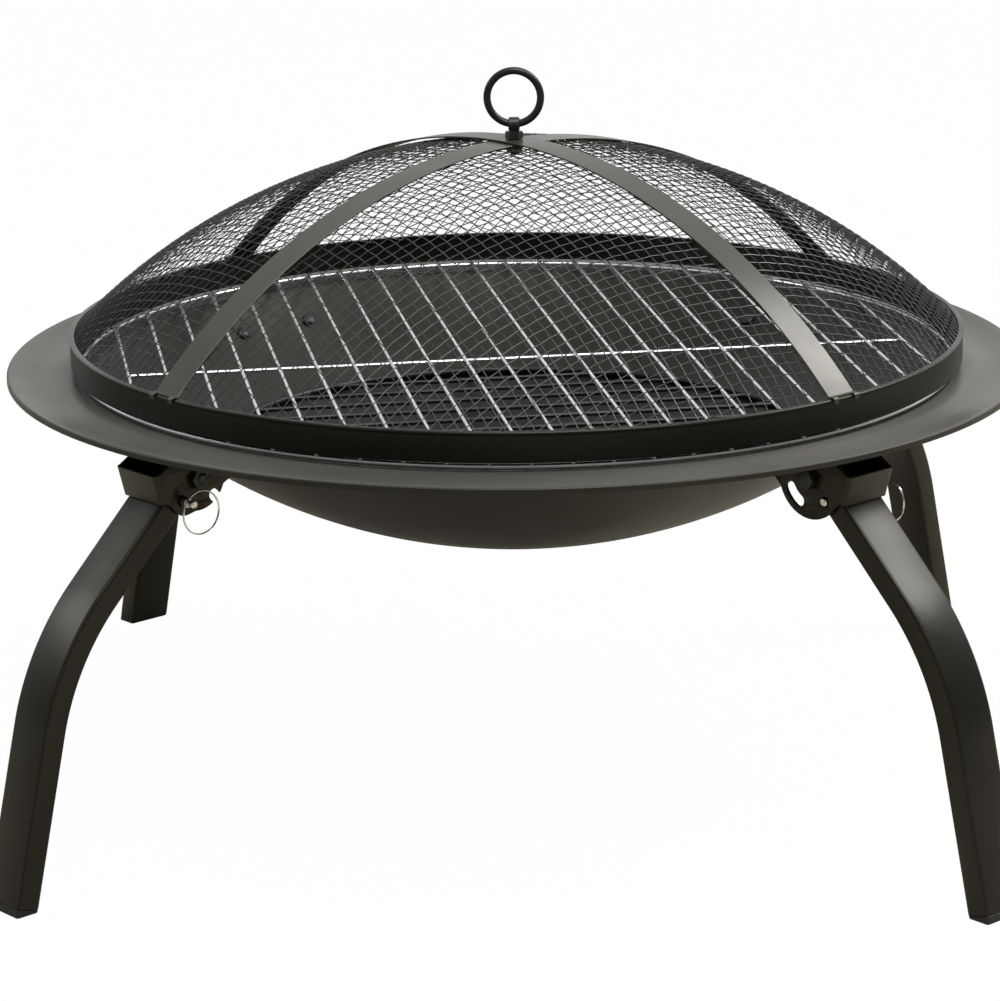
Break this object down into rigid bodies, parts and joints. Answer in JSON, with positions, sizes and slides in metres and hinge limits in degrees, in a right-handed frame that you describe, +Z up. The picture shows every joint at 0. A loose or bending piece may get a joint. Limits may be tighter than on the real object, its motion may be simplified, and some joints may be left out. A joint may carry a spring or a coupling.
{
  "type": "fire pit",
  "caption": "Round portable fire pit: dished steel bowl with a flange, coal grate, wire cooking grid, lift-off mesh dome with a ring handle, and folding pinned legs.",
  "frame": {"origin": "on the floor, under the bowl's axis", "axes": "+Z up along the bowl's axis; the legs stand on the diagonals, front towards -Y"},
  "size_m": [0.76, 0.76, 0.5303],
  "materials": {
    "paint": "satin black paint",
    "grate_iron": "matt black",
    "chrome": "bright plated wire",
    "mesh": "black coated mesh",
    "handle": "satin black",
    "black_zinc": "black plated",
    "nickel": "bright nickel plated",
    "cap": "matt black plastic"
  },
  "bodies": {
    "bowl": {"fire_bowl": "paint", "bracket_front_left": "paint", "pivot_bolt_front_left": "black_zinc", "pivot_nut_front_left": "black_zinc", "mount_bolt_a_front_left": "black_zinc", "mount_bolt_b_front_left": "black_zinc", "mount_nut_a_front_left": "black_zinc", "mount_nut_b_front_left": "black_zinc", "bracket_front_right": "paint", "pivot_bolt_front_right": "black_zinc", "pivot_nut_front_right": "black_zinc", "mount_bolt_a_front_right": "black_zinc", "mount_bolt_b_front_right": "black_zinc", "mount_nut_a_front_right": "black_zinc", "mount_nut_b_front_right": "black_zinc", "bracket_rear_right": "paint", "pivot_bolt_rear_right": "black_zinc", "pivot_nut_rear_right": "black_zinc", "mount_bolt_a_rear_right": "black_zinc", "mount_bolt_b_rear_right": "black_zinc", "mount_nut_a_rear_right": "black_zinc", "mount_nut_b_rear_right": "black_zinc", "bracket_rear_left": "paint", "pivot_bolt_rear_left": "black_zinc", "pivot_nut_rear_left": "black_zinc", "mount_bolt_a_rear_left": "black_zinc", "mount_bolt_b_rear_left": "black_zinc", "mount_nut_a_rear_left": "black_zinc", "mount_nut_b_rear_left": "black_zinc"},
    "coal_grate": {"coal_grate": "grate_iron"},
    "cooking_grid": {"cooking_grid": "chrome"},
    "dome": {"dome_skirt": "paint", "dome_mesh": "mesh", "strap_a": "paint", "strap_b": "paint", "handle_eye": "black_zinc", "handle_top_nut": "black_zinc", "handle_bottom_nut": "black_zinc"},
    "handle": {"handle_ring": "handle"},
    "leg_front_left": {"leg_tube_front_left": "paint", "foot_cap_front_left": "cap"},
    "pin_front_left": {"lock_pin_front_left": "nickel"},
    "ring_front_left": {"pin_ring_front_left": "nickel"},
    "leg_front_right": {"leg_tube_front_right": "paint", "foot_cap_front_right": "cap"},
    "pin_front_right": {"lock_pin_front_right": "nickel"},
    "ring_front_right": {"pin_ring_front_right": "nickel"},
    "leg_rear_right": {"leg_tube_rear_right": "paint", "foot_cap_rear_right": "cap"},
    "pin_rear_right": {"lock_pin_rear_right": "nickel"},
    "ring_rear_right": {"pin_ring_rear_right": "nickel"},
    "leg_rear_left": {"leg_tube_rear_left": "paint", "foot_cap_rear_left": "cap"},
    "pin_rear_left": {"lock_pin_rear_left": "nickel"},
    "ring_rear_left": {"pin_ring_rear_left": "nickel"}
  },
  "joints": [
    {"name": "coal_grate_lift", "type": "slide", "parent": "bowl", "child": "coal_grate", "axis": [0, 0, 1], "range_m": [0, 0.2]},
    {"name": "cooking_grid_lift", "type": "slide", "parent": "coal_grate", "child": "cooking_grid", "axis": [0, 0, 1], "range_m": [0, 0.2]},
    {"name": "dome_lift", "type": "slide", "parent": "cooking_grid", "child": "dome", "axis": [0, 0, 1], "range_m": [0, 0.25]},
    {"name": "handle_swing", "type": "hinge", "parent": "dome", "child": "handle", "pos_m": [0, 0, 0.48805], "axis": [1, 0, 0], "range_deg": [-95, 95]},
    {"name": "fold_front_left", "type": "hinge", "parent": "bowl", "child": "leg_front_left", "pos_m": [-0.22733, -0.22733, 0.283], "axis": [0.7071, -0.7071, 0], "range_deg": [0, 90]},
    {"name": "pull_front_left", "type": "slide", "parent": "leg_front_left", "child": "pin_front_left", "axis": [0.7071, -0.7071, 0], "range_m": [0, 0.06]},
    {"name": "swing_front_left", "type": "hinge", "parent": "pin_front_left", "child": "ring_front_left", "pos_m": [-0.21567, -0.2588, 0.269], "axis": [0.7071, -0.7071, 0], "range_deg": [-90, 90]},
    {"name": "fold_front_right", "type": "hinge", "parent": "bowl", "child": "leg_front_right", "pos_m": [0.22733, -0.22733, 0.283], "axis": [0.7071, 0.7071, 0], "range_deg": [0, 90]},
    {"name": "pull_front_right", "type": "slide", "parent": "leg_front_right", "child": "pin_front_right", "axis": [0.7071, 0.7071, 0], "range_m": [0, 0.06]},
    {"name": "swing_front_right", "type": "hinge", "parent": "pin_front_right", "child": "ring_front_right", "pos_m": [0.2588, -0.21567, 0.269], "axis": [0.7071, 0.7071, 0], "range_deg": [-90, 90]},
    {"name": "fold_rear_right", "type": "hinge", "parent": "bowl", "child": "leg_rear_right", "pos_m": [0.22733, 0.22733, 0.283], "axis": [-0.7071, 0.7071, 0], "range_deg": [0, 90]},
    {"name": "pull_rear_right", "type": "slide", "parent": "leg_rear_right", "child": "pin_rear_right", "axis": [-0.7071, 0.7071, 0], "range_m": [0, 0.06]},
    {"name": "swing_rear_right", "type": "hinge", "parent": "pin_rear_right", "child": "ring_rear_right", "pos_m": [0.21567, 0.2588, 0.269], "axis": [-0.7071, 0.7071, 0], "range_deg": [-90, 90]},
    {"name": "fold_rear_left", "type": "hinge", "parent": "bowl", "child": "leg_rear_left", "pos_m": [-0.22733, 0.22733, 0.283], "axis": [-0.7071, -0.7071, 0], "range_deg": [0, 90]},
    {"name": "pull_rear_left", "type": "slide", "parent": "leg_rear_left", "child": "pin_rear_left", "axis": [-0.7071, -0.7071, 0], "range_m": [0, 0.06]},
    {"name": "swing_rear_left", "type": "hinge", "parent": "pin_rear_left", "child": "ring_rear_left", "pos_m": [-0.2588, 0.21567, 0.269], "axis": [-0.7071, -0.7071, 0], "range_deg": [-90, 90]}
  ],
  "couplings": [
    {"joint": "swing_front_left", "follows": "fold_front_left", "ratio": -1},
    {"joint": "swing_front_right", "follows": "fold_front_right", "ratio": -1},
    {"joint": "swing_rear_right", "follows": "fold_rear_right", "ratio": -1},
    {"joint": "swing_rear_left", "follows": "fold_rear_left", "ratio": -1}
  ]
}
